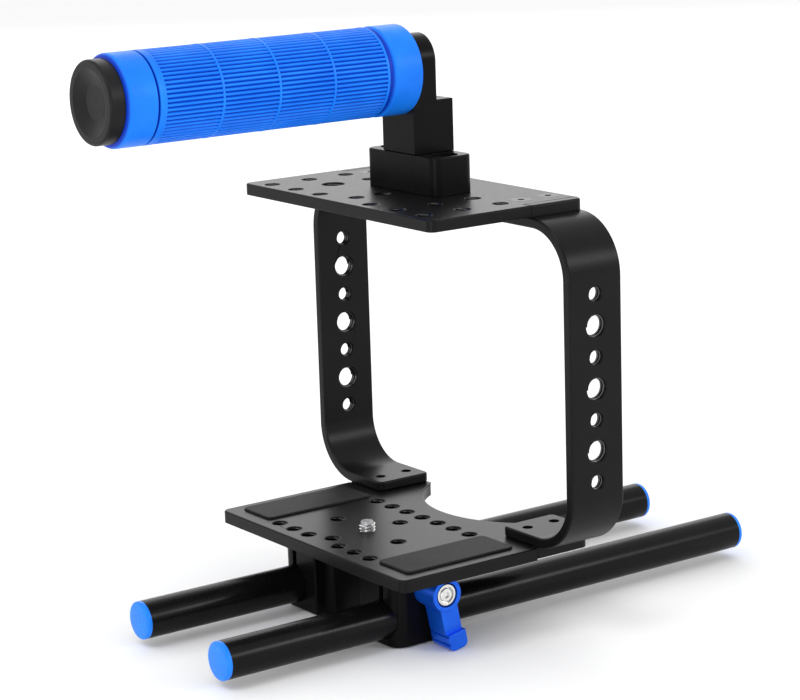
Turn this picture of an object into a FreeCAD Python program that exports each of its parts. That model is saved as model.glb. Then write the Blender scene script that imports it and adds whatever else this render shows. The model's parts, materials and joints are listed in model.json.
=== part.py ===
import FreeCAD, Part

import math
import os

# A cage that holds a camera for filming, with a top handle and two rods below it.
# Millimetres. +X points across the cage to its right arm, +Y along the rods towards the arms and the
# lens, and +Z up.
# The origin lies on the camera screw's axis, at the top face of the base plate.

Vector = FreeCAD.Vector
ALONG_X = Vector(1, 0, 0)
ALONG_Y = Vector(0, 1, 0)
ALONG_Z = Vector(0, 0, 1)
SIDES = {"left": -1, "right": 1}

# Clearances between pieces
seat_gap = 0.05
thread_gap = 0.05
screw_hole_gap = 0.25
counterbore_gap = 0.2
notch_gap = 0.1
running_gap = 0.06
overcut = 1.0

# Proportions that all the screws share
screw_bevel_share = 0.15
cap_socket_share = 0.55
countersunk_socket_share = 0.6

# Plates
plate_width = 126.0
plate_corner_r = 3.0
edge_break = 0.4
arm_edge_y = 60.3
base_near_y = -28.2
base_thickness = 5.0
top_near_y = -10.9
top_thickness = 4.6
clear_height = 127.5

# Cut-out for the lens in the base plate
cutout_r = 45.0
cutout_depth = 22.5

# Tapped holes for accessories, at the middle of their thread's depth
small_tap_r = 2.9
large_tap_r = 4.4

# Hole rows of the base plate
base_hole_pitch = 10.4
near_row_inset = 7.5
near_centre_inset = 11.6
middle_hole_x = 20.8
single_hole_y = 15.7
far_row_to_cutout = 11.2

# Hole rows of the top plate
top_hole_pitch = 17.0
top_row_inset = 5.9
top_row_pitch = 17.6
top_centre_shift = 5.4

# Side arms
arm_thickness = 4.0
arm_depth = 25.0
arm_reach = 21.4
arm_bend_r = 22.0
arm_edge_break = 0.5
leg_reach = 22.0
leg_corner_r = 2.5
lip_thickness = 4.0
base_lip_short = 0.6
lip_near_r = 0.8
lip_far_r = 3.0
arm_hole_count = 7
arm_hole_pitch = 12.0
arm_hole_rise = 0.25

# Screws between arms and plates
arm_screw_inset = 13.7
arm_screw_spacing = 13.0
arm_screw_r = 2.0
arm_screw_head_r = 4.45
arm_screw_length = 8.0
arm_screw_socket = 2.5

# Rubber strips
strip_width = 20.0
strip_length = 50.0
strip_height = 0.9
strip_side_inset = 5.5
strip_near_inset = 6.5
strip_corner_r = 2.2
strip_bevel = 0.35

# Handle block and its screws
block_width = 45.6
handle_depth = 18.7
block_height = 14.9
block_corner_r = 3.8
cap_screw_r = 3.1
cap_head_r = 4.7
cap_head_height = 6.35
cap_head_sunk = 0.7
cap_socket = 4.8

# Handle post
post_width = 21.0
post_lower_height = 20.4
post_upper_depth = 11.1
post_height = 45.5
post_screw_x = 5.6
post_screw_r = 2.5
post_screw_head_r = 4.25
post_screw_head_height = 5.0
post_screw_length = 16.0
post_screw_socket = 4.0

# Grip, its core and its bolt
grip_drop = 13.3
grip_length = 127.2
rib_count = 64
rib_crest_r = 17.1
rib_valley_r = 16.3
rib_crest_share = 1 / 3
ring_r = 17.2
ring_width = 0.9
ring_count = 5
ring_pitch = 24.1
ring_root = 0.5
last_ring_inset = 15.45
far_collar_length = 11.6
far_collar_r = 17.3
far_collar_slope = 1.6
near_collar_length = 12.1
near_collar_r = 17.15
near_rim_r = 2.0
collar_groove_width = 1.0
collar_groove_depth = 1.0
core_r = 12.0
core_bore_r = 9.0
core_end_wall = 18.0
handle_bolt_r = 3.0
handle_bolt_head_r = 5.0
handle_bolt_head_height = 6.0
handle_bolt_length = 18.0
handle_bolt_socket = 5.0

# End plug of the grip
plug_r = 15.4
plug_thickness = 6.0
plug_rim_r = 0.9
plug_dish_r = 12.4
plug_dish_floor_r = 6.4
plug_dish_depth = 2.2
plug_spigot_length = 12.0

# Rods
rod_r = 7.5
rod_bore_r = 6.0
rod_length = 250.0
rod_x = 30.0
rod_z = -25.85
rod_start_y = {"left": -85.7, "right": -87.0}
cap_thickness = 2.2
cap_rise = 0.4
cap_spigot_length = 9.0

# Rod block
rod_block_wall = 1.5
rod_block_depth = 30.4
rod_block_height = 31.0
rod_block_corner_r = 5.8
recess_width = 31.0
recess_depth = 7.5
recess_mouth_r = 0.8
recess_inner_r = 4.0
clamp_slit = 2.5
rod_block_screw_x = 11.0
rod_block_screw_r = 2.0
rod_block_screw_head_r = 3.5
rod_block_screw_head_height = 4.0
rod_block_screw_length = 13.0
rod_block_screw_bite = 4.0
rod_block_screw_socket = 3.0

# Camera screw
camera_screw_r = 3.175
camera_neck_r = 2.9
camera_screw_proud = 4.5
camera_head_r = 4.8
camera_head_height = 6.35
camera_head_sunk = 1.2
camera_socket = 4.8

# Clamp levers
clamp_z = -14.05
clamp_stud_r = 3.0
clamp_stud_inner_x = 17.0
clamp_stud_tip_bevel = 0.6
clamp_collar_r = 4.4
clamp_collar_length = 2.4
index_boss_r = 3.4
index_boss_length = 2.4
clamp_neck_r = 2.2
clamp_ring_r = 4.1
clamp_ring_length = 2.0
clamp_ring_dish_r = 3.25
clamp_ring_dish_depth = 1.3
clamp_screw_r = 1.5
clamp_screw_head_r = 2.65
clamp_screw_head_height = 1.2
clamp_screw_length = 6.0
clamp_screw_socket = 2.5
lever_hub_r = 6.4
lever_hub_length = 12.6
lever_hub_gap = 0.4
lever_face_sunk = 0.4
lever_pocket_r = 4.75
lever_lift = 2.0
lever_lean = 11.0
lever_arm_width = 7.8
lever_arm_inset = 2.1
lever_arm_face_inset = 0.5
lever_fillet_r = 3.0
lever_length = 22.1
lever_end_height = 6.7
lever_end_proud = 1.5
lever_end_inset = 2.6
lever_end_r = 2.2
lever_end_widening = 0.2
lever_groove_width = 0.9
lever_groove_depth = 0.5
lever_groove_spacing = 3.3
spring_wall = 0.5
spring_closed_length = 1.2

# Places that follow from the sizes above
half_plate = plate_width / 2
arm_outer_x = half_plate + arm_reach
leg_end_x = half_plate - leg_reach
arm_screw_x = half_plate - arm_screw_inset
top_z = clear_height + top_thickness
arm_y = arm_edge_y - arm_depth / 2
cutout_low_y = arm_edge_y - cutout_depth
base_near_row_y = base_near_y + near_row_inset
base_far_row_y = cutout_low_y - far_row_to_cutout
top_row_y = [top_near_y + top_row_inset + row * top_row_pitch for row in range(3)]
handle_y = top_row_y[2]
post_face_y = handle_y - handle_depth / 2
block_top_z = top_z + block_height
post_step_z = block_top_z + post_lower_height
post_top_z = block_top_z + post_height
grip_z = post_top_z - grip_drop
arm_hole_middle_z = clear_height / 2 + arm_hole_rise
block_bottom_z = -base_thickness - rod_block_height
ear_x = rod_x + rod_r + rod_block_wall
grip_end_y = post_face_y - grip_length


def on_plane(normal, level):
    """Returns the function that puts an outline's (a, b) on the plane across one axis."""
    places = {
        "x": lambda a, b: Vector(level, a, b),
        "y": lambda a, b: Vector(a, level, b),
        "z": lambda a, b: Vector(a, b, level),
    }
    return places[normal]


def rounded_wire(corners, place):
    """Closed wire through (a, b, radius) corners, each rounded by a tangent arc."""
    bends = []
    for index, (a, b, radius) in enumerate(corners):
        here = Vector(a, b, 0)
        before = Vector(*corners[index - 1][:2], 0)
        after = Vector(*corners[(index + 1) % len(corners)][:2], 0)
        back = (before - here).normalize()
        ahead = (after - here).normalize()
        if radius == 0:
            bends.append((here, here, here))
            continue
        half_angle = back.getAngle(ahead) / 2
        reach = radius / math.tan(half_angle)
        middle = (back + ahead).normalize()
        crown = here + middle * (radius / math.sin(half_angle) - radius)
        bends.append((here + back * reach, crown, here + ahead * reach))
    edges = []
    for index, (start, crown, end) in enumerate(bends):
        last = bends[index - 1][2]
        if last.distanceToPoint(start) > 1e-6:
            edges.append(Part.LineSegment(place(last.x, last.y), place(start.x, start.y)).toShape())
        if start.distanceToPoint(end) > 1e-6:
            arc = Part.Arc(place(start.x, start.y), place(crown.x, crown.y), place(end.x, end.y))
            edges.append(arc.toShape())
    return Part.Wire(edges)


def prism(corners, normal, start, length):
    """Solid pushed out of a rounded outline across the named axis."""
    directions = {"x": ALONG_X, "y": ALONG_Y, "z": ALONG_Z}
    face = Part.Face(rounded_wire(corners, on_plane(normal, start)))
    return face.extrude(directions[normal] * length)


def rectangle(a_low, a_high, b_low, b_high, radius=0):
    return [(a_low, b_low, radius), (a_high, b_low, radius), (a_high, b_high, radius), (a_low, b_high, radius)]


def moved(shape, base, direction):
    """The shape with its origin at base and its +Z along direction."""
    result = shape.copy()
    place = FreeCAD.Placement(base, FreeCAD.Rotation(ALONG_Z, direction))
    result.transformShape(place.toMatrix(), True)
    return result


def turned(profile, base, direction):
    """Solid of revolution: profile of (radius, distance along the axis, corner radius)."""
    face = Part.Face(rounded_wire(profile, on_plane("y", 0)))
    return moved(face.revolve(Vector(0, 0, 0), ALONG_Z, 360), base, direction)


def hex_prism(across_flats, depth):
    corner_r = across_flats / math.sqrt(3)
    corners = []
    for step in range(6):
        angle = math.radians(60 * step)
        corners.append((corner_r * math.cos(angle), corner_r * math.sin(angle), 0))
    return prism(corners, "z", 0, depth)


def edges_where(shape, wanted):
    """Edges whose ends both satisfy the test."""
    return [edge for edge in shape.Edges if all(wanted(vertex.Point) for vertex in edge.Vertexes)]


def near(value, target):
    return abs(value - target) < 1e-4


def mirrored(shape, side):
    """The right-hand shape, or its mirror image across the YZ plane for the left."""
    if SIDES[side] > 0:
        return shape
    return shape.mirror(Vector(0, 0, 0), ALONG_X)


def through_hole(mouth, direction, wall, radius):
    """Cutter for a hole through a wall: direction points out of its mouth."""
    return Part.makeCylinder(radius, wall + 2 * overcut, mouth + direction * overcut, -direction)


def cap_screw(seat, direction, radius, length, head_r, head_height, socket):
    """Socket head screw: seat is under the head, direction runs to the tip."""
    bevel = radius * screw_bevel_share
    profile = [
        (0, length, 0),
        (radius, length, 0),
        (radius, 0, 0),
        (head_r, 0, 0),
        (head_r, bevel - head_height, 0),
        (head_r - bevel, -head_height, 0),
        (0, -head_height, 0),
    ]
    screw = turned(profile, Vector(0, 0, 0), ALONG_Z)
    hexagon = hex_prism(socket, head_height * cap_socket_share)
    hexagon.translate(Vector(0, 0, -head_height))
    return moved(screw.cut(hexagon), seat, direction)


def cap_hole(seat, direction, radius, depth, head_r, head_depth):
    """Cutter for a clearance hole with a counterbore behind the seat."""
    wide = head_r + counterbore_gap
    profile = [
        (0, depth, 0),
        (radius, depth, 0),
        (radius, 0, 0),
        (wide, 0, 0),
        (wide, -head_depth, 0),
        (0, -head_depth, 0),
    ]
    return turned(profile, seat, direction)


def countersunk_screw(face, direction):
    """Countersunk arm screw with its head flush in a face, direction towards its tip."""
    cone = arm_screw_head_r - arm_screw_r
    profile = [
        (0, 0, 0),
        (arm_screw_head_r, 0, 0),
        (arm_screw_r, cone, 0),
        (arm_screw_r, arm_screw_length, 0),
        (0, arm_screw_length, 0),
    ]
    screw = turned(profile, Vector(0, 0, 0), ALONG_Z)
    socket = hex_prism(arm_screw_socket, cone * countersunk_socket_share)
    return moved(screw.cut(socket), face, direction)


def countersunk_hole(face, direction, depth):
    """Cutter for the plate's share of a countersunk arm screw."""
    hole_r = arm_screw_r + screw_hole_gap
    mouth_r = arm_screw_head_r + seat_gap
    profile = [
        (0, -overcut, 0),
        (mouth_r, -overcut, 0),
        (mouth_r, 0, 0),
        (hole_r, mouth_r - hole_r, 0),
        (hole_r, depth, 0),
        (0, depth, 0),
    ]
    return turned(profile, face, direction)


def arm_screw_places():
    """(x, y) of the screws that hold the arms to each plate."""
    places = []
    for sign in SIDES.values():
        for step in (-0.5, 0.5):
            places.append((sign * arm_screw_x, arm_y + step * arm_screw_spacing))
    return places


def plate_outline(near_y):
    """Plate outline with the two notches that take the arms' lips."""
    notch_x = half_plate - lip_thickness - notch_gap
    notch_y = arm_edge_y - arm_depth - notch_gap
    return [
        (-half_plate, near_y, plate_corner_r),
        (half_plate, near_y, plate_corner_r),
        (half_plate, notch_y, 0),
        (notch_x, notch_y, 0),
        (notch_x, arm_edge_y, 0),
        (-notch_x, arm_edge_y, 0),
        (-notch_x, notch_y, 0),
        (-half_plate, notch_y, 0),
    ]


def bevelled_top(plate, level):
    """Breaks the sharp edges round a plate's upper face."""
    return plate.makeChamfer(edge_break, edges_where(plate, lambda point: near(point.z, level)))


def base_holes():
    """Cutters for the base plate's tapped holes, from above."""
    places = [(0, base_near_y + near_centre_inset), (0, single_hole_y)]
    for step in range(-3, 4):
        if step != 0:
            places.append((step * base_hole_pitch, base_near_row_y))
        places.append((step * base_hole_pitch, base_far_row_y))
    for sign in SIDES.values():
        places.append((sign * middle_hole_x, 0))
    return [through_hole(Vector(x, y, 0), ALONG_Z, base_thickness, small_tap_r) for x, y in places]


def base_plate():
    plate = prism(plate_outline(base_near_y), "z", -base_thickness, base_thickness)
    centre = Vector(0, cutout_low_y + cutout_r, -base_thickness - overcut)
    plate = plate.cut(Part.makeCylinder(cutout_r, base_thickness + 2 * overcut, centre))
    plate = bevelled_top(plate, 0)
    through = base_thickness + overcut
    cutters = base_holes()
    camera_hole_r = camera_screw_r + running_gap
    cutters.append(Part.makeCylinder(camera_hole_r, through + overcut, Vector(0, 0, -through)))
    for x, y in arm_screw_places():
        cutters.append(countersunk_hole(Vector(x, y, -base_thickness), ALONG_Z, through))
    blind_depth = rod_block_screw_length - rod_block_screw_grip() + seat_gap
    for sign in SIDES.values():
        foot = Vector(sign * rod_block_screw_x, 0, -base_thickness)
        cutters.append(Part.makeCylinder(rod_block_screw_r + thread_gap, blind_depth, foot))
    return plate.cut(cutters)


def top_holes():
    """Cutters for the top plate's tapped holes, from above."""
    steps = range(-3, 4)
    small = []
    for step in steps:
        shift = top_centre_shift if step == 0 else 0
        small.append((step * top_hole_pitch, top_row_y[0] + shift))
    for step in (-3, 0, 2, 3):
        small.append((step * top_hole_pitch, top_row_y[1]))
    for step in steps:
        if step != 0:
            small.append((step * top_hole_pitch, top_row_y[2]))
    cutters = [through_hole(Vector(x, y, top_z), ALONG_Z, top_thickness, small_tap_r) for x, y in small]
    wide = Vector(-2 * top_hole_pitch, top_row_y[1], top_z)
    cutters.append(through_hole(wide, ALONG_Z, top_thickness, large_tap_r))
    return cutters


def top_plate():
    plate = prism(plate_outline(top_near_y), "z", clear_height, top_thickness)
    plate = bevelled_top(plate, top_z)
    cutters = top_holes()
    for x, y in arm_screw_places():
        cutters.append(countersunk_hole(Vector(x, y, top_z), -ALONG_Z, top_thickness + overcut))
    return plate.cut(cutters)


def arm_lip(low_z, high_z):
    """Lip that stands across a leg, in the notch of its plate."""
    inner_x = half_plate - lip_thickness
    near_y = arm_edge_y - arm_depth
    outline = [
        (inner_x, near_y, 0),
        (half_plate, near_y, lip_near_r),
        (half_plate, arm_edge_y, lip_far_r),
        (inner_x, arm_edge_y, 0),
    ]
    return prism(outline, "z", low_z, high_z - low_z)


def side_arm(side):
    """C-shaped arm bent from flat bar, with a lip over each leg and its row of tapped holes."""
    inner_x = arm_outer_x - arm_thickness
    inner_r = arm_bend_r - arm_thickness
    inner_top = clear_height - arm_thickness
    outline = [
        (leg_end_x, 0, 0),
        (arm_outer_x, 0, arm_bend_r),
        (arm_outer_x, clear_height, arm_bend_r),
        (leg_end_x, clear_height, 0),
        (leg_end_x, inner_top, 0),
        (inner_x, inner_top, inner_r),
        (inner_x, arm_thickness, inner_r),
        (leg_end_x, arm_thickness, 0),
    ]
    near_y = arm_edge_y - arm_depth
    arm = prism(outline, "y", near_y, arm_depth)
    leg_ends = [
        edge
        for edge in edges_where(arm, lambda point: near(point.x, leg_end_x))
        if near(edge.Length, arm_thickness)
    ]
    arm = arm.makeFillet(leg_corner_r, leg_ends)
    long_edges = [
        edge
        for edge in edges_where(arm, lambda point: near(point.y, near_y) or near(point.y, arm_edge_y))
        if not near(edge.Vertexes[0].X, leg_end_x) or edge.Length > arm_thickness
    ]
    arm = arm.makeChamfer(arm_edge_break, long_edges)
    arm = arm.fuse([arm_lip(base_lip_short - base_thickness, 0), arm_lip(clear_height, top_z)])
    cutters = []
    middle = (arm_hole_count - 1) / 2
    for index in range(arm_hole_count):
        mouth = Vector(arm_outer_x, arm_y, arm_hole_middle_z + (index - middle) * arm_hole_pitch)
        hole_r = large_tap_r if index % 2 else small_tap_r
        cutters.append(through_hole(mouth, ALONG_X, arm_thickness, hole_r))
    tap_r = arm_screw_r + thread_gap
    for x, y in arm_screw_places():
        if x > 0:
            for leg_z in (0, inner_top):
                foot = Vector(x, y, leg_z - overcut / 2)
                cutters.append(Part.makeCylinder(tap_r, arm_thickness + overcut, foot))
    return mirrored(arm.cut(cutters).removeSplitter(), side)


def base_arm_screws():
    screws = [countersunk_screw(Vector(x, y, -base_thickness), ALONG_Z) for x, y in arm_screw_places()]
    return Part.makeCompound(screws)


def top_arm_screws():
    screws = [countersunk_screw(Vector(x, y, top_z), -ALONG_Z) for x, y in arm_screw_places()]
    return Part.makeCompound(screws)


def grip_strip(side):
    """Rubber strip bonded to the base plate beside the camera screw."""
    outer_x = half_plate - strip_side_inset
    low_y = base_near_y + strip_near_inset
    outline = rectangle(outer_x - strip_width, outer_x, low_y, low_y + strip_length, strip_corner_r)
    strip = prism(outline, "z", 0, strip_height)
    strip = strip.makeChamfer(strip_bevel, edges_where(strip, lambda point: near(point.z, strip_height)))
    return mirrored(strip, side)


def block_screw_seat():
    return Vector(0, handle_y, block_top_z - cap_head_sunk - cap_head_height)


def handle_block():
    low_y = handle_y - handle_depth / 2
    outline = rectangle(-block_width / 2, block_width / 2, low_y, low_y + handle_depth, block_corner_r)
    block = prism(outline, "z", top_z, block_height)
    block = bevelled_top(block, block_top_z)
    cutters = []
    seat = block_screw_seat()
    head_depth = block_top_z - seat.z + overcut
    for sign in SIDES.values():
        place = seat + Vector(sign * top_hole_pitch, 0, 0)
        hole_r = cap_screw_r + screw_hole_gap
        cutters.append(cap_hole(place, -ALONG_Z, hole_r, seat.z - top_z + overcut, cap_head_r, head_depth))
        under = Vector(sign * post_screw_x, handle_y, top_z + post_screw_head_height + seat_gap)
        hole_r = post_screw_r + screw_hole_gap
        depth = block_top_z - under.z + overcut
        head_depth_below = post_screw_head_height + overcut
        cutters.append(cap_hole(under, ALONG_Z, hole_r, depth, post_screw_head_r, head_depth_below))
    return block.cut(cutters)


def handle_block_screws():
    """Screws from the block down into the top plate's third row of holes."""
    seat = block_screw_seat()
    length = seat.z - clear_height - seat_gap
    screws = []
    for sign in SIDES.values():
        place = seat + Vector(sign * top_hole_pitch, 0, 0)
        screw_r = small_tap_r - thread_gap
        screws.append(cap_screw(place, -ALONG_Z, screw_r, length, cap_head_r, cap_head_height, cap_socket))
    return Part.makeCompound(screws)


def handle_post():
    """Stepped post: a wide foot and a thinner arched tongue that carries the grip."""
    half = post_width / 2
    front = [
        (-half, block_top_z, 0),
        (half, block_top_z, 0),
        (half, post_top_z, half),
        (-half, post_top_z, half),
    ]
    foot_y = post_face_y + handle_depth
    tongue_y = post_face_y + post_upper_depth
    side = [
        (post_face_y, block_top_z, 0),
        (foot_y, block_top_z, 0),
        (foot_y, post_step_z, 0),
        (tongue_y, post_step_z, 0),
        (tongue_y, post_top_z, 0),
        (post_face_y, post_top_z, 0),
    ]
    post = prism(front, "y", post_face_y, handle_depth).common(prism(side, "x", -half, post_width))
    cutters = []
    for sign in SIDES.values():
        foot = Vector(sign * post_screw_x, handle_y, block_top_z - overcut)
        depth = post_screw_length - block_height + post_screw_head_height + 2 * overcut
        cutters.append(Part.makeCylinder(post_screw_r + thread_gap, depth, foot))
    seat = Vector(0, tongue_y - handle_bolt_head_height - seat_gap, grip_z)
    hole_r = handle_bolt_r + screw_hole_gap
    depth = post_upper_depth + overcut
    head_depth = handle_bolt_head_height + overcut
    cutters.append(cap_hole(seat, -ALONG_Y, hole_r, depth, handle_bolt_head_r, head_depth))
    return post.cut(cutters)


def handle_post_screws():
    """Screws from under the block up into the post."""
    screws = []
    for sign in SIDES.values():
        seat = Vector(sign * post_screw_x, handle_y, top_z + post_screw_head_height + seat_gap)
        screws.append(
            cap_screw(
                seat,
                ALONG_Z,
                post_screw_r,
                post_screw_length,
                post_screw_head_r,
                post_screw_head_height,
                post_screw_socket,
            )
        )
    return Part.makeCompound(screws)


def handle_core():
    """Metal tube inside the grip, with a tapped end wall against the post."""
    end = Vector(0, post_face_y, grip_z)
    core = Part.makeCylinder(core_r, grip_length, end, -ALONG_Y)
    wall = Vector(0, post_face_y - core_end_wall, grip_z)
    bore = Part.makeCylinder(core_bore_r, grip_length, wall, -ALONG_Y)
    mouth = end + ALONG_Y * overcut
    tap = Part.makeCylinder(handle_bolt_r + thread_gap, core_end_wall + 2 * overcut, mouth, -ALONG_Y)
    return core.cut([bore, tap])


def handle_bolt():
    seat = Vector(0, post_face_y + post_upper_depth - handle_bolt_head_height - seat_gap, grip_z)
    return cap_screw(
        seat,
        -ALONG_Y,
        handle_bolt_r,
        handle_bolt_length,
        handle_bolt_head_r,
        handle_bolt_head_height,
        handle_bolt_socket,
    )


def rib_outline():
    """Star outline of the grip: each rib has a flat crest and two flanks that meet in the valley."""
    corners = []
    pitch = 2 * math.pi / rib_count
    crest = pitch * rib_crest_share / 2
    for rib in range(rib_count):
        middle = rib * pitch
        for radius, angle in (
            (rib_valley_r, middle - pitch / 2),
            (rib_crest_r, middle - crest),
            (rib_crest_r, middle + crest),
        ):
            corners.append((radius * math.cos(angle), radius * math.sin(angle), 0))
    return corners


def grip_rings():
    """Distances of the rings from the post's face, nearest first."""
    first = last_ring_inset
    return [first + step * ring_pitch for step in range(ring_count)]


def handle_grip():
    """Rubber sleeve: a turned body with collars and rings, and ribs that run along it."""
    rings = grip_rings()
    under = rib_valley_r - ring_root
    bore_r = core_r + seat_gap
    near_collar_start = grip_length - near_collar_length
    groove_start = near_collar_start - collar_groove_width
    profile = [(bore_r, 0, 0), (far_collar_r, 0, 0), (far_collar_r, far_collar_length, 0)]
    profile.append((rib_valley_r, far_collar_length + far_collar_slope, 0))
    for ring in rings:
        low = ring - ring_width / 2
        high = ring + ring_width / 2
        before = rib_valley_r if ring == rings[0] else under
        after = near_collar_r if ring == rings[-1] else under
        profile += [(before, low, 0), (ring_r, low, 0), (ring_r, high, 0), (after, high, 0)]
    profile += [
        (near_collar_r, groove_start, 0),
        (near_collar_r - collar_groove_depth, groove_start, 0),
        (near_collar_r - collar_groove_depth, near_collar_start, 0),
        (near_collar_r, near_collar_start, 0),
        (near_collar_r, grip_length, near_rim_r),
        (bore_r, grip_length, 0),
    ]
    sleeve = turned(profile, Vector(0, 0, 0), ALONG_Z)
    ribs = prism(rib_outline(), "z", rings[0], rings[-1] - rings[0])
    ribs = ribs.cut(Part.makeCylinder(bore_r, grip_length))
    return moved(sleeve.fuse(ribs), Vector(0, post_face_y, grip_z), -ALONG_Y)


def grip_end_plug():
    """Dished plug in the free end of the grip, with a spigot in the core."""
    profile = [
        (0, -plug_spigot_length, 0),
        (core_bore_r - seat_gap, -plug_spigot_length, 0),
        (core_bore_r - seat_gap, 0, 0),
        (plug_r, 0, 0),
        (plug_r, plug_thickness, plug_rim_r),
        (plug_dish_r, plug_thickness, 0),
        (plug_dish_floor_r, plug_thickness - plug_dish_depth, 0),
        (0, plug_thickness - plug_dish_depth, 0),
    ]
    return turned(profile, Vector(0, grip_end_y, grip_z), -ALONG_Y)


def rod_block_screw_seat_z():
    """Height of the seats under the rod block's screw heads."""
    return -base_thickness - rod_block_screw_grip()


def rod_block_screw_grip():
    """Length of each rod block screw that lies in the block."""
    return rod_block_screw_length - rod_block_screw_bite


def rod_block_outline():
    """Block outline from above, with a recess in the middle of both long faces."""
    half_depth = rod_block_depth / 2
    half_recess = recess_width / 2
    floor = half_depth - recess_depth
    quarter = [
        (half_recess, floor, recess_inner_r),
        (half_recess, half_depth, recess_mouth_r),
        (ear_x, half_depth, rod_block_corner_r),
    ]
    corners = [(x, -y, radius) for x, y, radius in quarter]
    corners += [(x, y, radius) for x, y, radius in reversed(quarter)]
    corners += [(-x, y, radius) for x, y, radius in quarter]
    corners += [(-x, -y, radius) for x, y, radius in reversed(quarter)]
    return corners


def rod_block():
    """Block with a split bore for each rod, drawn together by the clamp levers' studs."""
    block = prism(rod_block_outline(), "z", block_bottom_z, rod_block_height)
    block = block.makeChamfer(edge_break, edges_where(block, lambda point: near(point.z, block_bottom_z)))
    half_depth = rod_block_depth / 2 + overcut
    cutters = []
    for sign in SIDES.values():
        middle_x = sign * rod_x
        mouth = Vector(middle_x, -half_depth, rod_z)
        bore = Part.makeCylinder(rod_r + running_gap, 2 * half_depth, mouth, ALONG_Y)
        slit = prism(
            rectangle(middle_x - clamp_slit / 2, middle_x + clamp_slit / 2, rod_z, overcut - base_thickness),
            "y",
            -half_depth,
            2 * half_depth,
        )
        cutters.append(bore.fuse(slit))
        outward = ALONG_X * sign
        inner = Vector(sign * clamp_stud_inner_x, 0, clamp_z)
        tap_depth = rod_x - clamp_stud_inner_x
        cutters.append(Part.makeCylinder(clamp_stud_r + thread_gap, tap_depth, inner, outward))
        ear = Vector(middle_x, 0, clamp_z)
        ear_depth = ear_x - rod_x + overcut
        cutters.append(Part.makeCylinder(clamp_stud_r + screw_hole_gap, ear_depth, ear, outward))
        seat = Vector(sign * rod_block_screw_x, 0, rod_block_screw_seat_z())
        hole_r = rod_block_screw_r + screw_hole_gap
        head_depth = seat.z - block_bottom_z + overcut
        depth = rod_block_screw_grip() + overcut
        cutters.append(cap_hole(seat, ALONG_Z, hole_r, depth, rod_block_screw_head_r, head_depth))
    seat = Vector(0, 0, camera_screw_seat_z())
    head_depth = seat.z - block_bottom_z + overcut
    hole_r = camera_screw_r + running_gap
    depth = -base_thickness - seat.z + overcut
    cutters.append(cap_hole(seat, ALONG_Z, hole_r, depth, camera_head_r, head_depth))
    return block.cut(cutters)


def rod_block_screws():
    """Screws from deep counterbores under the block up into the base plate."""
    screws = []
    for sign in SIDES.values():
        seat = Vector(sign * rod_block_screw_x, 0, rod_block_screw_seat_z())
        screws.append(
            cap_screw(
                seat,
                ALONG_Z,
                rod_block_screw_r,
                rod_block_screw_length,
                rod_block_screw_head_r,
                rod_block_screw_head_height,
                rod_block_screw_socket,
            )
        )
    return Part.makeCompound(screws)


def camera_screw_seat_z():
    return block_bottom_z + camera_head_sunk + camera_head_height


def camera_screw():
    """Captive screw for the camera: a head sunk in the block, a neck in the plate and a thread above it."""
    seat_z = camera_screw_seat_z() - seat_gap
    profile = [
        (0, seat_z - camera_head_height, 0),
        (camera_head_r, seat_z - camera_head_height, 0),
        (camera_head_r, seat_z, 0),
        (camera_screw_r, seat_z, 0),
        (camera_screw_r, -base_thickness, 0),
        (camera_neck_r, -base_thickness, 0),
        (camera_neck_r, 0, 0),
        (camera_screw_r, 0, 0),
        (camera_screw_r, camera_screw_proud, 0),
        (0, camera_screw_proud, 0),
    ]
    socket = hex_prism(camera_socket, camera_head_height / 2)
    socket.translate(Vector(0, 0, seat_z - camera_head_height))
    return turned(profile, Vector(0, 0, 0), ALONG_Z).cut(socket)


def rod_ends(side):
    start = Vector(SIDES[side] * rod_x, rod_start_y[side], rod_z)
    return start, start + ALONG_Y * rod_length


def rod(side):
    start = rod_ends(side)[0]
    tube = Part.makeCylinder(rod_r, rod_length, start, ALONG_Y)
    return tube.cut(Part.makeCylinder(rod_bore_r, rod_length, start, ALONG_Y))


def rod_cap(side, end):
    """Domed cap with a spigot in the end of a rod."""
    face = rod_ends(side)[end]
    outward = ALONG_Y if end else -ALONG_Y
    spigot_r = rod_bore_r - seat_gap
    profile = [
        (0, -cap_spigot_length, 0),
        (spigot_r, -cap_spigot_length, 0),
        (spigot_r, 0, 0),
        (rod_r, 0, 0),
        (rod_r, cap_thickness - 2 * cap_rise, 0),
        (rod_r - cap_rise, cap_thickness - cap_rise, 0),
        (rod_r - 4 * cap_rise, cap_thickness, 0),
        (0, cap_thickness, 0),
    ]
    return turned(profile, face, outward)


def clamp_stud(side):
    """Stud of a clamp lever: thread, collar against the ear, index boss and neck."""
    collar_x = ear_x + seat_gap - clamp_stud_inner_x
    boss_x = collar_x + clamp_collar_length
    neck_x = boss_x + index_boss_length
    ring_x = clamp_ring_seat_x() - clamp_stud_inner_x
    profile = [
        (0, seat_gap, 0),
        (clamp_stud_r - clamp_stud_tip_bevel, seat_gap, 0),
        (clamp_stud_r, seat_gap + clamp_stud_tip_bevel, 0),
        (clamp_stud_r, collar_x, 0),
        (clamp_collar_r, collar_x, 0),
        (clamp_collar_r, boss_x, 0),
        (index_boss_r, boss_x, 0),
        (index_boss_r, neck_x, 0),
        (clamp_neck_r, neck_x, 0),
        (clamp_neck_r, ring_x, 0),
        (0, ring_x, 0),
    ]
    stud = turned(profile, Vector(clamp_stud_inner_x, 0, clamp_z), ALONG_X)
    tap_depth = clamp_screw_length + overcut / 2
    mouth = Vector(clamp_ring_seat_x(), 0, clamp_z)
    tap = Part.makeCylinder(clamp_screw_r + thread_gap, tap_depth, mouth, -ALONG_X)
    return mirrored(stud.cut(tap), side)


def lever_face_x():
    return ear_x + lever_hub_gap + lever_hub_length


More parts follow.
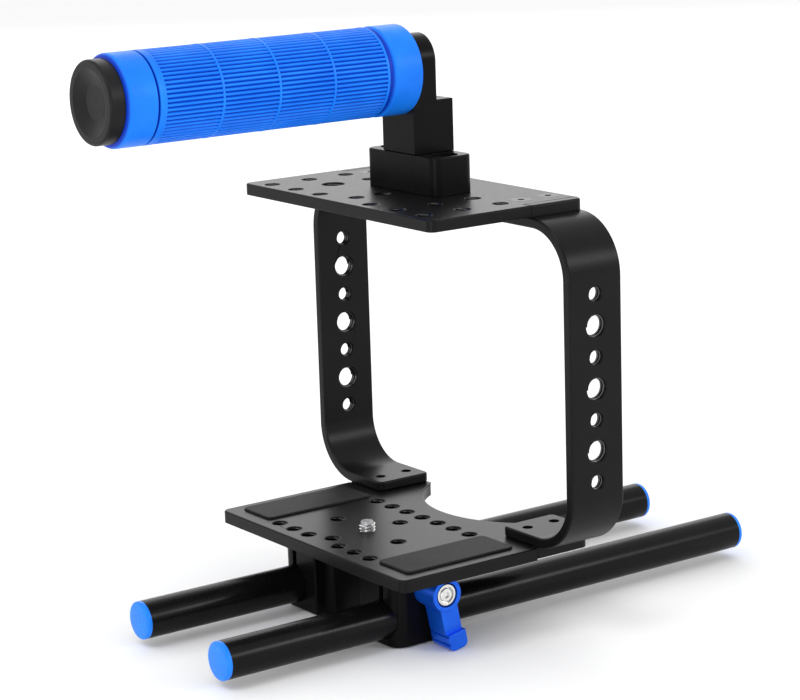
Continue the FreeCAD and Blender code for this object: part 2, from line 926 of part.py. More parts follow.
def clamp_ring_seat_x():
    return lever_face_x() - lever_face_sunk - clamp_ring_length


def clamp_ring(side):
    """Bright cup ring that keeps the lever on its stud."""
    hole_r = clamp_screw_r + screw_hole_gap
    dish = clamp_ring_length - clamp_ring_dish_depth
    profile = [
        (hole_r, 0, 0),
        (clamp_ring_r, 0, 0),
        (clamp_ring_r, clamp_ring_length, 0),
        (clamp_ring_dish_r, clamp_ring_length, 0),
        (clamp_ring_dish_r, dish, 0),
        (hole_r, dish, 0),
    ]
    return mirrored(turned(profile, Vector(clamp_ring_seat_x(), 0, clamp_z), ALONG_X), side)


def clamp_screw(side):
    """Socket screw that holds the cup ring on the stud."""
    seat = Vector(clamp_ring_seat_x() + clamp_ring_length - clamp_ring_dish_depth, 0, clamp_z)
    screw = cap_screw(
        seat,
        -ALONG_X,
        clamp_screw_r,
        clamp_screw_length,
        clamp_screw_head_r,
        clamp_screw_head_height,
        clamp_screw_socket,
    )
    return mirrored(screw, side)


def lift_spring(side):
    """Lift spring behind the cup ring, as a sleeve of its closed length."""
    seat_x = clamp_ring_seat_x()
    inner_r = clamp_ring_r - spring_wall
    profile = [
        (inner_r, 0, 0),
        (clamp_ring_r, 0, 0),
        (clamp_ring_r, spring_closed_length, 0),
        (inner_r, spring_closed_length, 0),
    ]
    return mirrored(turned(profile, Vector(seat_x, 0, clamp_z), -ALONG_X), side)


def lever_blank():
    """Lever before its bores, hanging straight down from a hub at the origin, along +X."""
    hub = Part.makeCylinder(lever_hub_r, lever_hub_length, Vector(0, 0, 0), ALONG_X)
    half = lever_arm_width / 2
    face_x = lever_hub_length
    arm_length = face_x - lever_arm_inset - lever_arm_face_inset
    arm = prism(rectangle(-half, half, -lever_length + lever_end_r, 0), "x", lever_arm_inset, arm_length)
    lever = hub.fuse(arm)
    joins = [
        edge
        for edge in lever.Edges
        if near(edge.Length, arm_length) and -lever_hub_r < edge.Vertexes[0].Z < -half / 2
    ]
    lever = lever.makeFillet(lever_fillet_r, joins)
    end_half = half + lever_end_widening
    end_z = -lever_length + lever_end_height
    outline = [
        (-end_half, -lever_length, lever_end_r),
        (end_half, -lever_length, lever_end_r),
        (end_half, end_z, 0),
        (-end_half, end_z, 0),
    ]
    end_length = face_x - lever_end_inset + lever_end_proud
    return lever.fuse(prism(outline, "x", lever_end_inset, end_length))


def lever_grooves():
    """Cutters for the two finger grooves across the lever's end."""
    half = lever_arm_width / 2 + lever_end_widening
    cutters = []
    for index in range(2):
        top = -lever_length + lever_end_height - index * lever_groove_spacing
        outline = rectangle(-half - overcut, -half + lever_groove_depth, top - lever_groove_width, top)
        cutters.append(prism(outline, "x", 0, lever_hub_length + 2 * lever_end_proud))
    return cutters


def clamp_lever(side):
    """Indexable lever: lifted along its stud, it can be turned to a free angle and let go."""
    hub_x = ear_x + lever_hub_gap
    collar_end = ear_x + seat_gap + clamp_collar_length - hub_x + seat_gap
    boss_end = collar_end + index_boss_length
    shoulder_end = clamp_ring_seat_x() - hub_x - spring_closed_length - lever_lift - seat_gap
    bores = [
        (0, -overcut, 0),
        (clamp_collar_r + running_gap, -overcut, 0),
        (clamp_collar_r + running_gap, collar_end, 0),
        (index_boss_r + running_gap, collar_end, 0),
        (index_boss_r + running_gap, boss_end, 0),
        (clamp_neck_r + running_gap, boss_end, 0),
        (clamp_neck_r + running_gap, shoulder_end, 0),
        (lever_pocket_r, shoulder_end, 0),
        (lever_pocket_r, lever_hub_length + overcut, 0),
        (0, lever_hub_length + overcut, 0),
    ]
    lever = lever_blank().cut(lever_grooves() + [turned(bores, Vector(0, 0, 0), ALONG_X)])
    lever.rotate(Vector(0, 0, 0), ALONG_X, lever_lean)
    lever.translate(Vector(hub_x, 0, clamp_z))
    return mirrored(lever, side)


def all_nodes():
    nodes = {
        "base_plate": base_plate(),
        "base_arm_screws": base_arm_screws(),
        "top_plate": top_plate(),
        "top_arm_screws": top_arm_screws(),
        "handle_block": handle_block(),
        "handle_block_screws": handle_block_screws(),
        "handle_post": handle_post(),
        "handle_post_screws": handle_post_screws(),
        "handle_core": handle_core(),
        "handle_bolt": handle_bolt(),
        "handle_grip": handle_grip(),
        "grip_end_plug": grip_end_plug(),
        "rod_block": rod_block(),
        "rod_block_screws": rod_block_screws(),
        "camera_screw": camera_screw(),
    }
    for side in SIDES:
        nodes["side_arm_" + side] = side_arm(side)
        nodes["grip_strip_" + side] = grip_strip(side)
        nodes["rod_" + side] = rod(side)
        nodes["rod_cap_near_" + side] = rod_cap(side, 0)
        nodes["rod_cap_far_" + side] = rod_cap(side, 1)
        nodes["clamp_stud_" + side] = clamp_stud(side)
        nodes["clamp_ring_" + side] = clamp_ring(side)
        nodes["clamp_screw_" + side] = clamp_screw(side)
        nodes["lift_spring_" + side] = lift_spring(side)
        nodes["clamp_lever_" + side] = clamp_lever(side)
    return nodes


os.makedirs("parts", exist_ok=True)
for name, shape in all_nodes().items():
    if not shape.isValid():
        raise ValueError(name + " is not a valid shape")
    shape.exportStep("parts/" + name + ".step")
    print(name, len(shape.Solids), "solid(s)", round(shape.Volume, 1), "mm3")
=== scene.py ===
import json
import math

import bpy
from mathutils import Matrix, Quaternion, Vector


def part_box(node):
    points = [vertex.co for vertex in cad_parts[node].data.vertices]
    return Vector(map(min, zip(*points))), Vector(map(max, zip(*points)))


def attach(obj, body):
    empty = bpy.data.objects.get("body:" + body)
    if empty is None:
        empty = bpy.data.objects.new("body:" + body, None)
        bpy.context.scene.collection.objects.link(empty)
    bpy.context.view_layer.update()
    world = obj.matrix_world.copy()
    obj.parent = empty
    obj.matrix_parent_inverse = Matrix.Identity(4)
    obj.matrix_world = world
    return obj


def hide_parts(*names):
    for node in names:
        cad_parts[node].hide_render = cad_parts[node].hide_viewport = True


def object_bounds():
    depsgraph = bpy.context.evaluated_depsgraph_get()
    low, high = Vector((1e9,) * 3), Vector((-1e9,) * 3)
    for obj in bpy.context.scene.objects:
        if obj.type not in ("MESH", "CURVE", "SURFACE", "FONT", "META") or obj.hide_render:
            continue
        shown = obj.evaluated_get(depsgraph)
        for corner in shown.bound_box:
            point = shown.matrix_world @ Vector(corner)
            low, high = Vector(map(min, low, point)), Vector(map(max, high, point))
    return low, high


# A camera cage in black anodised aluminium with a blue ribbed rubber grip, blue clamp levers and blue
# rod caps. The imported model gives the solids. This script gives them their finishes, breaks the edges of
# the machined pieces and adds the screw threads, the domed caps, the floor, the lights and the camera.

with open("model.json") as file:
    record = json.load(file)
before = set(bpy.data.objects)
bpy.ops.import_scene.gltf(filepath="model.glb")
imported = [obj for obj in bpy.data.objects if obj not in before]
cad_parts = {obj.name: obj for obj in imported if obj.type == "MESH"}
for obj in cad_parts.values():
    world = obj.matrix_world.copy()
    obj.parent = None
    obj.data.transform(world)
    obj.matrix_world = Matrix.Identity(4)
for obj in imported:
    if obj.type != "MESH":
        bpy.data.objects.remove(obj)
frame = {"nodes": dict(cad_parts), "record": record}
cad_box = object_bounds()

# Lengths are in mm, but for the photograph's pixels and the room; MM turns them to metres
MM = 0.001

# Photograph's width and focal length in pixels, and the camera that took it
PHOTO_WIDTH = 800
FOCAL_PIXELS = 2581.1
SENSOR_WIDTH = 36.0
CAMERA_PLACE = Vector((804.22, -549.24, 289.92)) * MM
CAMERA_AZIMUTH = math.radians(54.785)
CAMERA_ELEVATION = math.radians(12.616)
CAMERA_ROLL = math.radians(-1.797)

# Screw threads: pitch, and how far the crest stands into the hole
SMALL_PITCH = 1.27
SMALL_CREST = 0.38
LARGE_PITCH = 1.59
LARGE_CREST = 0.5
LARGE_FROM_R = 3.5
THREAD_ROOT = 0.05
THREAD_SIDES = 24
RIDGE_SHARE = 0.6
ARM_THREAD_DEPTH = 4.0

# Grip's ribs, measured from its axis; the painted shade in the grooves fades out between these radii
GROOVE_R = 16.35
RIB_R = 17.0

# Edges of the machined pieces
MOUTH_BEVEL = 0.38
MOUTH_TOLERANCE = 0.06
PLATE_EDGE = 0.14
CUT_OUT_TIP_X = 39.0
CUT_OUT_TIP_REACH = 0.8
CUT_OUT_TIP_ROUND = 3.0
PLATE_HALF_WIDTH = 63.0
LIP_REACH_IN = 3.9
LIP_ROUND = 0.8
FACE_TOLERANCE = 0.05
BLOCK_EDGES = {"handle_block": 0.2, "handle_post": 0.35, "rod_block": 0.2}
SHARP_COSINE = 0.8
WELD_DISTANCE = 0.002
FLAT_ANGLE = math.radians(0.5)
SMOOTH_ANGLE = math.radians(35)

# Camera screw: radii from its axis, and its head's heights above its foot
SCREW_R = 3.17
SCREW_ROOT_R = 2.62
SCREW_RIDGE_ROOT_R = 2.55
SCREW_TIP_R = 2.3
SCREW_TIP_BEVEL = 0.5
SCREW_TIP_DROP = 0.6
SCREW_RIDGE_START = 1.5
HEAD_BEVEL = 0.4
HEAD_SIDE = 6.3
HEAD_HEIGHT = 6.35
FOOT_RING_R = 2.4
FOOT_RING_OUTER_R = 2.41
FOOT_RING_DEPTH = 3.2

# Levels under the base plate's upper face, which is at zero
BASE_UNDERSIDE = -5.0
NECK_START = -4.9

# Rod caps, with radii from the rod's axis
CAP_STEM_R = 5.9
CAP_STEM_TIP_R = 5.2
CAP_STEM_BEVEL = 0.6
CAP_FLANGE = 2.2
CAP_RIM = 1.0
CAP_DOME_RISE = 0.9
CAP_DOME_INSET = 1.3
CAP_DOME_STEPS = 6
CAP_CROWN_DROP = 0.15

# Radius that closes a turned piece on its axis
AXIS_R = 0.05

# Room in metres: floor, and each light's place and size, with its power in watts
FLOOR_SIZE = 12
FLOOR_GAP = 0.0002
LIGHTS_AIM = Vector((0, 0, 0.08))
LIGHTS = (
    ("key", (0.2, -1.4, 1.9), 0.8, 10.0),
    ("side", (1.5, 1.1, 0.85), 0.4, 7.0),
    ("front", (0.95, -1.45, 0.1), 0.25, 4.0),
    ("far", (-1.7, 1.2, 1.1), 1.4, 8.0),
)

WALLS = ("base_plate", "top_plate", "side_arm_left", "side_arm_right")


def colour(code):
    """An sRGB hex value such as #2a7df5 as linear red, green, blue, alpha."""
    parts = [int(code[i : i + 2], 16) / 255 for i in (1, 3, 5)]
    linear = [p / 12.92 if p <= 0.04045 else ((p + 0.055) / 1.055) ** 2.4 for p in parts]
    return (*linear, 1.0)


def node(tree, kind, inputs=None, **settings):
    """Adds a shader node with its settings; an input is a number, a colour or another node's output."""
    made = tree.nodes.new(kind)
    for name, value in settings.items():
        setattr(made, name, value)
    for name, value in (inputs or {}).items():
        if isinstance(value, bpy.types.NodeSocket):
            tree.links.new(value, made.inputs[name])
        else:
            made.inputs[name].default_value = value
    return made


def new_material(name):
    """An empty material with its principled shader, wired to the output."""
    material = bpy.data.materials.new(name)
    material.use_nodes = True
    tree = material.node_tree
    tree.nodes.clear()
    shader = node(tree, "ShaderNodeBsdfPrincipled")
    node(tree, "ShaderNodeOutputMaterial", {"Surface": shader.outputs["BSDF"]})
    place = node(tree, "ShaderNodeTexCoord").outputs["Object"]
    return material, tree, shader, place


def grains(tree, place, grain_mm):
    """Noise whose blobs are about grain_mm across."""
    inputs = {"Vector": place, "Scale": 1.0 / (grain_mm * MM), "Detail": 2.0}
    return node(tree, "ShaderNodeTexNoise", inputs).outputs["Fac"]


def spread(tree, value, low, high):
    """Maps a noise's middle range to low..high."""
    inputs = {"Value": value, "From Min": 0.3, "From Max": 0.7, "To Min": low, "To Max": high}
    return node(tree, "ShaderNodeMapRange", inputs).outputs["Result"]


def mixed(tree, value, first, second):
    """Two hex colours mixed by a noise; the mix node's colours are its inputs 6 and 7."""
    share = spread(tree, value, 0.0, 1.0)
    mix = node(tree, "ShaderNodeMix", {"Factor": share}, data_type="RGBA")
    mix.inputs[6].default_value = colour(first)
    mix.inputs[7].default_value = colour(second)
    return mix.outputs[2]


def worn_edges(tree, grain, edge_mm, strength, depth_mm):
    """Normal that rounds sharp edges by edge_mm and carries a fine grain."""
    edge = node(tree, "ShaderNodeBevel", {"Radius": edge_mm * MM}, samples=6).outputs["Normal"]
    inputs = {"Height": grain, "Strength": strength, "Distance": depth_mm * MM, "Normal": edge}
    return node(tree, "ShaderNodeBump", inputs).outputs["Normal"]


def black_anodised_aluminium(name, sheen_ior, roughness):
    """Bead-blasted and black anodised aluminium: near-black, grey where it mirrors the pale room."""
    material, tree, shader, place = new_material(name)
    fine = grains(tree, place, 0.35)
    broad = grains(tree, place, 22.0)
    shader.inputs["IOR"].default_value = sheen_ior
    tree.links.new(mixed(tree, broad, "#0a090a", "#100f10"), shader.inputs["Base Color"])
    tree.links.new(spread(tree, fine, roughness - 0.05, roughness + 0.07), shader.inputs["Roughness"])
    normal = worn_edges(tree, fine, edge_mm=0.2, strength=0.4, depth_mm=0.02)
    tree.links.new(normal, shader.inputs["Normal"])
    return material


def moulded_rubber(name, first, second, roughness, strength):
    """Moulded rubber or matt plastic: even colour, soft highlights and a faint mould texture."""
    material, tree, shader, place = new_material(name)
    fine = grains(tree, place, 0.5)
    broad = grains(tree, place, 14.0)
    shader.inputs["IOR"].default_value = 1.28
    tree.links.new(mixed(tree, broad, first, second), shader.inputs["Base Color"])
    tree.links.new(spread(tree, fine, roughness - 0.06, roughness + 0.08), shader.inputs["Roughness"])
    normal = worn_edges(tree, fine, edge_mm=0.25, strength=strength, depth_mm=0.03)
    tree.links.new(normal, shader.inputs["Normal"])
    return material


def blue_anodised_aluminium(name):
    """Blue dyed anodised aluminium, tumbled: deep blue with a soft metal sheen."""
    material, tree, shader, place = new_material(name)
    fine = grains(tree, place, 0.3)
    broad = grains(tree, place, 9.0)
    shader.inputs["Metallic"].default_value = 0.6
    tree.links.new(mixed(tree, broad, "#0a5ae0", "#1068ee"), shader.inputs["Base Color"])
    tree.links.new(spread(tree, fine, 0.3, 0.4), shader.inputs["Roughness"])
    normal = worn_edges(tree, fine, edge_mm=0.5, strength=0.15, depth_mm=0.02)
    tree.links.new(normal, shader.inputs["Normal"])
    return material


def turned_metal(name, first, second, roughness):
    """Turned steel or aluminium, bare or zinc plated: a metal sheen with a fine turned grain."""
    material, tree, shader, place = new_material(name)
    fine = grains(tree, place, 0.25)
    shader.inputs["Metallic"].default_value = 1.0
    tree.links.new(mixed(tree, fine, first, second), shader.inputs["Base Color"])
    tree.links.new(spread(tree, fine, roughness - 0.05, roughness + 0.08), shader.inputs["Roughness"])
    normal = worn_edges(tree, fine, edge_mm=0.12, strength=0.1, depth_mm=0.01)
    tree.links.new(normal, shader.inputs["Normal"])
    return material


def ribbed_grip_rubber_painted_groove_shade(name):
    """Azure moulded rubber with painted shade: bright on its ribs and collars, painted deep blue down in the
    grooves between them, where shade falls.
    """
    material, tree, shader, place = new_material(name)
    low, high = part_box("handle_core")
    axis_z = (low.z + high.z) / 2
    apart = node(tree, "ShaderNodeSeparateXYZ", {"Vector": place})
    height = node(tree, "ShaderNodeMath", {0: apart.outputs["Z"], 1: axis_z}, operation="SUBTRACT").outputs[0]
    flat = node(tree, "ShaderNodeCombineXYZ", {"X": apart.outputs["X"], "Y": height}).outputs["Vector"]
    reach = node(tree, "ShaderNodeVectorMath", {0: flat}, operation="LENGTH").outputs["Value"]
    # Painted shade mask: 0 down in the grooves and 1 on the ribs, from the distance to the grip's axis
    inputs = {"Value": reach, "From Min": GROOVE_R * MM, "From Max": RIB_R * MM, "To Min": 0.0, "To Max": 1.0}
    crest = node(tree, "ShaderNodeMapRange", inputs).outputs["Result"]
    fine = grains(tree, place, 0.6)
    broad = grains(tree, place, 14.0)
    skin = mixed(tree, broad, "#1372ea", "#1b80f8")
    mix = node(tree, "ShaderNodeMix", {"Factor": crest}, data_type="RGBA")
    # Deep blue painted shade for the grooves, mixed in by that mask
    mix.inputs[6].default_value = colour("#0436b4")
    tree.links.new(skin, mix.inputs[7])
    tree.links.new(mix.outputs[2], shader.inputs["Base Color"])
    shader.inputs["IOR"].default_value = 1.22
    tree.links.new(spread(tree, fine, 0.34, 0.46), shader.inputs["Roughness"])
    normal = worn_edges(tree, fine, edge_mm=0.2, strength=0.15, depth_mm=0.03)
    tree.links.new(normal, shader.inputs["Normal"])
    return material


def gloss_plastic(name, first, second):
    """Injection moulded plastic, smooth and slightly glossy."""
    material, tree, shader, place = new_material(name)
    shader.inputs["IOR"].default_value = 1.3
    broad = grains(tree, place, 6.0)
    fine = grains(tree, place, 0.4)
    tree.links.new(mixed(tree, broad, first, second), shader.inputs["Base Color"])
    tree.links.new(spread(tree, fine, 0.22, 0.32), shader.inputs["Roughness"])
    normal = worn_edges(tree, fine, edge_mm=0.3, strength=0.05, depth_mm=0.02)
    tree.links.new(normal, shader.inputs["Normal"])
    return material


finishes = {
    "black_anodised": black_anodised_aluminium("black_anodised_plate", sheen_ior=1.23, roughness=0.32),
    "block_black": black_anodised_aluminium("black_anodised_block", sheen_ior=1.17, roughness=0.3),
    "rod_black": black_anodised_aluminium("black_anodised_rod", sheen_ior=1.22, roughness=0.24),
    "strip_rubber": moulded_rubber("strip_rubber", "#151315", "#1c1a1c", roughness=0.6, strength=0.6),
    "grip_rubber": ribbed_grip_rubber_painted_groove_shade("grip_rubber"),
    "plug_plastic": moulded_rubber("plug_plastic", "#100f11", "#161517", roughness=0.4, strength=0.15),
    "cap_plastic": gloss_plastic("cap_plastic", "#157bee", "#1d83f6"),
    "lever_metal": blue_anodised_aluminium("lever_blue_anodised"),
    "core_aluminium": turned_metal("core_aluminium", "#9a9a9c", "#b0b0b2", roughness=0.35),
    "dark_screw": turned_metal("dark_zinc_screw", "#1d1c1b", "#282625", roughness=0.34),
    "thread_metal": turned_metal("cut_thread_metal", "#4a4a4a", "#5e5e5e", roughness=0.16),
    "bright_steel": turned_metal("bright_steel", "#d6d6d4", "#efefed", roughness=0.2),
}


def dress(piece, slot):
    """Gives a piece its finish and nothing else."""
    piece.data.materials.clear()
    piece.data.materials.append(finishes[slot])


def dress_solids():
    """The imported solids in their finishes."""
    for row in frame["record"]["subparts"]:
        slot = "block_black" if row["node"] in BLOCK_EDGES else row["material_slot"]
        dress(frame["nodes"][row["node"]], slot)


def hang(piece, slot, body):
    """Gives a new piece the finish for its slot and the body that it rides on."""
    dress(piece, slot)
    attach(piece, body)


def start_piece():
    """Leaves edit mode and deselects everything."""
    if bpy.context.mode != "OBJECT":
        bpy.ops.object.mode_set(mode="OBJECT")
    bpy.ops.object.select_all(action="DESELECT")


def finish_piece(name, slot, body):
    """Names the active piece, bakes its place into its mesh and hangs it on its body."""
    piece = bpy.context.object
    piece.name = name
    bpy.ops.object.transform_apply(location=True, rotation=True, scale=True)
    bpy.ops.object.shade_smooth_by_angle(angle=SMOOTH_ANGLE)
    hang(piece, slot, body)
    return piece


def join_pieces(pieces):
    """Joins the pieces into the first."""
    start_piece()
    for piece in pieces:
        piece.select_set(True)
    bpy.context.view_layer.objects.active = pieces[0]
    bpy.ops.object.join()


def turned_piece(stations, place, direction, sides):
    """Solid turned about an axis: a disc is extruded and scaled through (distance, radius) stations in mm."""
    start_piece()
    first, first_r = stations[0]
    start = (0, 0, first * MM)
    bpy.ops.mesh.primitive_circle_add(vertices=sides, radius=first_r * MM, fill_type="NGON", location=start)
    bpy.ops.object.transform_apply(location=True, rotation=False, scale=False)
    bpy.ops.object.mode_set(mode="EDIT")
    bpy.ops.mesh.select_all(action="SELECT")
    for (before, before_r), (after, after_r) in zip(stations, stations[1:]):
        bpy.ops.mesh.extrude_region_move(TRANSFORM_OT_translate={"value": (0, 0, (after - before) * MM)})
        ratio = after_r / before_r
        bpy.ops.transform.resize(value=(ratio, ratio, 1), center_override=(0, 0, after * MM))
    bpy.ops.mesh.select_all(action="SELECT")
    bpy.ops.mesh.normals_make_consistent(inside=False)
    bpy.ops.object.mode_set(mode="OBJECT")
    piece = bpy.context.object
    piece.rotation_mode = "QUATERNION"
    piece.rotation_quaternion = Vector(direction).to_track_quat("Z", "Y")
    piece.location = Vector(place)
    return piece


def thread_ridge(wall_r, crest_r, pitch, length, place, direction):
    """Helical ridge of a screw thread, from the wall to its crest, along direction from place."""
    start_piece()
    half = abs(wall_r - crest_r) * RIDGE_SHARE
    middle = (wall_r + crest_r) / 2
    bpy.ops.mesh.primitive_circle_add(vertices=3, radius=half * MM, location=(middle * MM, 0, 0))
    ridge = bpy.context.object
    ridge.rotation_euler = (math.radians(90), 0, 0)
    bpy.ops.object.transform_apply(location=True, rotation=True, scale=True)
    bpy.ops.object.mode_set(mode="EDIT")
    bpy.ops.mesh.select_all(action="SELECT")
    lean = math.radians(90 if crest_r < wall_r else -90)
    bpy.ops.transform.rotate(value=lean, orient_axis="Y", center_override=(middle * MM, 0, 0))
    bpy.ops.object.mode_set(mode="OBJECT")
    turns = max(1, int((length - 2 * half) / pitch))
    screw = ridge.modifiers.new("turns", "SCREW")
    screw.steps = THREAD_SIDES
    screw.render_steps = THREAD_SIDES
    screw.screw_offset = pitch * MM
    screw.iterations = turns
    screw.use_normal_calculate = True
    bpy.ops.object.modifier_apply(modifier="turns")
    ridge.rotation_mode = "QUATERNION"
    ridge.rotation_quaternion = Vector(direction).to_track_quat("Z", "Y")
    spare = length - turns * pitch
    ridge.location = Vector(place) + Vector(direction) * spare * MM / 2
    return ridge


def is_arm(wall):
    return wall.startswith("side_arm")


def tapped_mounts(wall):
    """The record's tapped holes in a plate or an arm."""
    found = []
    for mount in frame["record"]["mounts"]:
        if mount["kind"] not in ("bolt_pattern", "threaded_hole"):
            continue
        axis = Vector(mount["axis"])
        if abs(axis.x) > 0.5:
            owner = "side_arm_right" if axis.x > 0 else "side_arm_left"
        else:
            owner = "top_plate" if mount["pos_m"][2] > 0.05 else "base_plate"
        if owner == wall:
            found.append(mount)
    return found


def hole_radius(mount):
    return mount["dims"].get("hole_r_mm", mount["dims"].get("r_mm"))


def hole_places(mount):
    """Centres of the holes of a mount, in metres."""
    if mount["kind"] == "threaded_hole":
        return [Vector(mount["pos_m"])]
    dims = mount["dims"]
    along_z = abs(mount["axis"][2]) > 0.5
    first = Vector((1, 0, 0)) if along_z else Vector((0, 1, 0))
    second = Vector((0, 1, 0)) if along_z else Vector((0, 0, 1))
    half_first = dims.get("spacing_x_mm", 0) * MM / 2
    half_second = dims.get("spacing_y_mm", 0) * MM / 2
    places = set()
    for a in (-half_first, half_first):
        for b in (-half_second, half_second):
            places.add(tuple(Vector(mount["pos_m"]) + first * a + second * b))
    return [Vector(place) for place in sorted(places)]


def machined_copy(node_name):
    """Opens a welded copy of a metal piece in edit mode, with each flat face in one."""
    start_piece()
    source = frame["nodes"][node_name]
    piece = bpy.data.objects.new(node_name + "_machined", source.data.copy())
    bpy.context.collection.objects.link(piece)
    bpy.context.view_layer.objects.active = piece
    piece.select_set(True)
    bpy.ops.object.mode_set(mode="EDIT")
    bpy.ops.mesh.select_all(action="SELECT")
    bpy.ops.mesh.remove_doubles(threshold=WELD_DISTANCE * MM)
    bpy.ops.mesh.dissolve_limited(angle_limit=FLAT_ANGLE)
    return piece


def bevel_where(piece, wanted, width, segments):
    """Bevels the sharp edges whose two ends both satisfy the test, given in mm."""
    bpy.ops.mesh.select_mode(type="EDGE")
    bpy.ops.mesh.select_all(action="DESELECT")
    bpy.ops.object.mode_set(mode="OBJECT")
    mesh = piece.data
    face_normals = {}
    for face in mesh.polygons:
        for key in face.edge_keys:
            face_normals.setdefault(key, []).append(face.normal)
    chosen = 0
    for edge in mesh.edges:
        normals = face_normals.get(edge.key, [])
        first, second = (mesh.vertices[index].co / MM for index in edge.vertices)
        sharp = len(normals) == 2 and normals[0].dot(normals[1]) < SHARP_COSINE
        edge.select = sharp and wanted(first) and wanted(second)
        chosen += edge.select
    bpy.ops.object.mode_set(mode="EDIT")
    if chosen:
        bpy.ops.mesh.bevel(offset=width * MM, segments=segments, affect="EDGES", clamp_overlap=False)


def finish_machined(piece, node_name, slot):
    """Keeps the copy inside the solid's box, weights its normals so that flats stay flat, and swaps it in."""
    bpy.ops.object.mode_set(mode="OBJECT")
    low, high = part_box(node_name)
    for vertex in piece.data.vertices:
        vertex.co = [min(max(vertex.co[axis], low[axis]), high[axis]) for axis in range(3)]
    piece.data.polygons.foreach_set("use_smooth", [True] * len(piece.data.polygons))
    weigh = piece.modifiers.new("flat_faces", "WEIGHTED_NORMAL")
    weigh.keep_sharp = False
    weigh.weight = 100
    bpy.ops.object.modifier_apply(modifier="flat_faces")
    hang(piece, slot, "cage")
    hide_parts(node_name)


def on_mouth(point, holes, across):
    """True where a point in mm lies on the rim of one of the holes, seen along the axis not in across."""
    for centre, radius in holes:
        gap = math.hypot(point[across[0]] - centre[across[0]], point[across[1]] - centre[across[1]])
        if abs(gap - radius) < MOUTH_TOLERANCE:
            return True
    return False


def on_cut_out_tip(point, edge_y):
    """True at the two tips of the base plate's cut-out, on its lens side."""
    at_edge = abs(point.y - edge_y) < FACE_TOLERANCE
    return at_edge and abs(abs(point.x) - CUT_OUT_TIP_X) < CUT_OUT_TIP_REACH


def on_lip_rim(point, top_z):
    """True on the upper rim of an arm, outside the plate's notch."""
    inner_x = PLATE_HALF_WIDTH - LIP_REACH_IN
    return abs(point.z - top_z) < FACE_TOLERANCE and abs(point.x) > inner_x


def plates_and_arms():
    """Plates and arms with countersunk hole mouths and broken edges."""
    for wall in WALLS:
        across = (1, 2) if is_arm(wall) else (0, 1)
        holes = []
        for mount in tapped_mounts(wall):
            holes += [(centre / MM, hole_radius(mount)) for centre in hole_places(mount)]
        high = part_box(wall)[1] / MM
        piece = machined_copy(wall)
        bevel_where(piece, lambda point: on_mouth(point, holes, across), MOUTH_BEVEL, 1)
        if wall == "base_plate":
            bevel_where(piece, lambda point: on_cut_out_tip(point, high.y), CUT_OUT_TIP_ROUND, 5)
        if is_arm(wall):
            bevel_where(piece, lambda point: on_lip_rim(point, high.z), LIP_ROUND, 3)
        bevel_where(piece, lambda point: True, PLATE_EDGE, 2)
        finish_machined(piece, wall, "black_anodised")


def blocks():
    """Handle block, post and rod block with their edges broken."""
    for node_name, width in BLOCK_EDGES.items():
        piece = machined_copy(node_name)
        bevel_where(piece, lambda point: True, width, 2)
        finish_machined(piece, node_name, "block_black")


def plate_threads():
    """The threads that show in the tapped holes of the plates and arms."""
    for wall in WALLS:
        low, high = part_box(wall)
        depth = ARM_THREAD_DEPTH if is_arm(wall) else (high.z - low.z) / MM
        ridges = []
        for mount in tapped_mounts(wall):
            axis = Vector(mount["axis"])
            radius = hole_radius(mount)
            pitch, crest = (SMALL_PITCH, SMALL_CREST) if radius < LARGE_FROM_R else (LARGE_PITCH, LARGE_CREST)
            for mouth in hole_places(mount):
                if is_arm(wall):
                    mouth.x = high.x if axis.x > 0 else low.x
                else:
                    mouth.z = high.z
                ridges.append(thread_ridge(radius + THREAD_ROOT, radius - crest, pitch, depth, mouth, -axis))
        join_pieces(ridges)
        finish_piece(wall + "_threads", "thread_metal", "cage")


def camera_screw_piece():
    """Camera screw: a turned core, closed below but for a hairline ring, and a thread on top in brighter
    steel than the core; between the turns the duller core stands as painted shade.
    """
    low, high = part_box("camera_screw")
    head_r = (high.x - low.x) / MM / 2
    foot = low.z / MM
    top = high.z / MM - SCREW_TIP_DROP
    stations = [
        (foot, FOOT_RING_R),
        (foot + FOOT_RING_DEPTH, FOOT_RING_R),
        (foot + FOOT_RING_DEPTH, FOOT_RING_OUTER_R),
        (foot, FOOT_RING_OUTER_R),
        (foot, head_r - HEAD_BEVEL),
        (foot + HEAD_BEVEL, head_r),
        (foot + HEAD_SIDE, head_r),
        (foot + HEAD_HEIGHT, SCREW_R),
        (BASE_UNDERSIDE, SCREW_R),
        (NECK_START, SCREW_ROOT_R),
        (top - SCREW_TIP_BEVEL, SCREW_ROOT_R),
        (top, SCREW_TIP_R),
        (top, AXIS_R),
    ]
    turned_piece(stations, (0, 0, 0), (0, 0, 1), sides=48)
    # The core's duller metal shows between the thread turns as painted shade
    core = finish_piece("camera_screw_core", "core_aluminium", "camera_screw")
    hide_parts("camera_screw")
    start = (0, 0, -SCREW_RIDGE_START * MM)
    length = top + SCREW_RIDGE_START
    thread_ridge(SCREW_RIDGE_ROOT_R, SCREW_R, SMALL_PITCH, length, start, (0, 0, 1))
    # Bright steel on the thread against the duller core: painted highlight on the turns, painted shade
    # between them
    finish_piece("camera_screw_thread", "bright_steel", "camera_screw")


def rod_cap_stations(length, radius):
    """Profile of a rod cap from its stem in the rod to the crown of its dome."""
    flange = length - CAP_FLANGE
    rim = flange + CAP_RIM
    stations = [
        (0, CAP_STEM_TIP_R),
        (CAP_STEM_BEVEL, CAP_STEM_R),
        (flange, CAP_STEM_R),
        (flange, radius),
        (rim, radius),
    ]
    for step in range(1, CAP_DOME_STEPS + 1):
        angle = math.radians(90 / CAP_DOME_STEPS * step)
        height = rim + CAP_DOME_RISE * math.sin(angle)
        stations.append((height, radius - CAP_DOME_INSET * (1 - math.cos(angle))))
    return stations + [(length - CAP_CROWN_DROP, radius * 0.6), (length, radius * 0.25), (length, AXIS_R)]


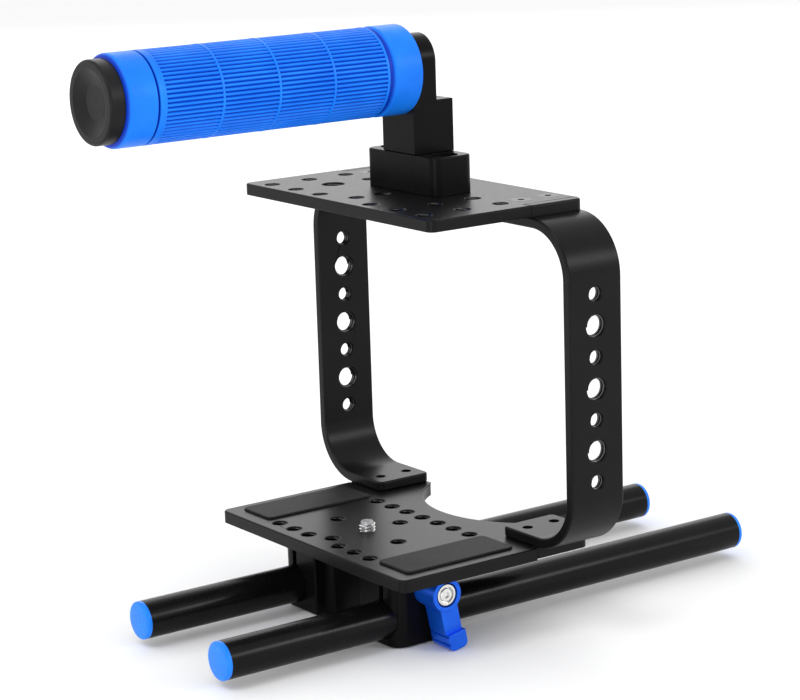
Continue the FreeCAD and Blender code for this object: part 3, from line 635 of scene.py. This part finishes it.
def rod_cap_pieces():
    """Domed blue caps that stand in the ends of the rods."""
    for side in ("left", "right"):
        for end, direction in (("near", -1), ("far", 1)):
            cad = "rod_cap_" + end + "_" + side
            low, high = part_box(cad)
            radius = (high.x - low.x) / MM / 2
            length = (high.y - low.y) / MM
            outer = low.y if direction < 0 else high.y
            crown = Vector(((low.x + high.x) / 2, outer, (low.z + high.z) / 2))
            stem = crown - Vector((0, direction * length * MM, 0))
            turned_piece(rod_cap_stations(length, radius), stem, (0, direction, 0), sides=64)
            piece = finish_piece(cad + "_dome", "cap_plastic", "rod_" + side)
            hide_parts(cad)


def studio():
    """Pale floor, white room light and four soft area lights."""
    start_piece()
    ground = cad_box[0].z
    bpy.ops.mesh.primitive_plane_add(size=FLOOR_SIZE, location=(0, 0, ground - FLOOR_GAP))
    floor = bpy.context.object
    floor.name = "floor"
    material, tree, shader, place = new_material("pale_floor")
    shader.inputs["Base Color"].default_value = colour("#f7f7f7")
    shader.inputs["Roughness"].default_value = 0.9
    floor.data.materials.append(material)
    world = bpy.data.worlds.new("soft_room")
    world.use_nodes = True
    background = world.node_tree.nodes["Background"]
    background.inputs["Color"].default_value = colour("#ffffff")
    background.inputs["Strength"].default_value = 1.0
    bpy.context.scene.world = world
    bpy.context.scene.view_settings.view_transform = "Standard"
    for name, place_m, size, power in LIGHTS:
        bpy.ops.object.light_add(type="AREA", location=place_m)
        light = bpy.context.object
        light.name = name + "_light"
        light.data.size = size
        light.data.energy = power
        light.rotation_mode = "QUATERNION"
        light.rotation_quaternion = (LIGHTS_AIM - Vector(place_m)).to_track_quat("-Z", "Y")


def photo_camera():
    """Camera at the photograph's place, with its lens and slight roll."""
    level = math.cos(CAMERA_ELEVATION)
    back = Vector((
        math.sin(CAMERA_AZIMUTH) * level,
        -math.cos(CAMERA_AZIMUTH) * level,
        math.sin(CAMERA_ELEVATION),
    ))
    start_piece()
    bpy.ops.object.camera_add(location=CAMERA_PLACE)
    camera = bpy.context.object
    camera.rotation_mode = "QUATERNION"
    camera.rotation_quaternion = (-back).to_track_quat("-Z", "Y") @ Quaternion((0, 0, 1), CAMERA_ROLL)
    camera.data.sensor_width = SENSOR_WIDTH
    camera.data.lens = FOCAL_PIXELS / PHOTO_WIDTH * SENSOR_WIDTH
    camera.data.clip_start = 0.01
    camera.data.clip_end = 50
    bpy.context.scene.camera = camera


dress_solids()
plates_and_arms()
blocks()
plate_threads()
camera_screw_piece()
rod_cap_pieces()
studio()
photo_camera()
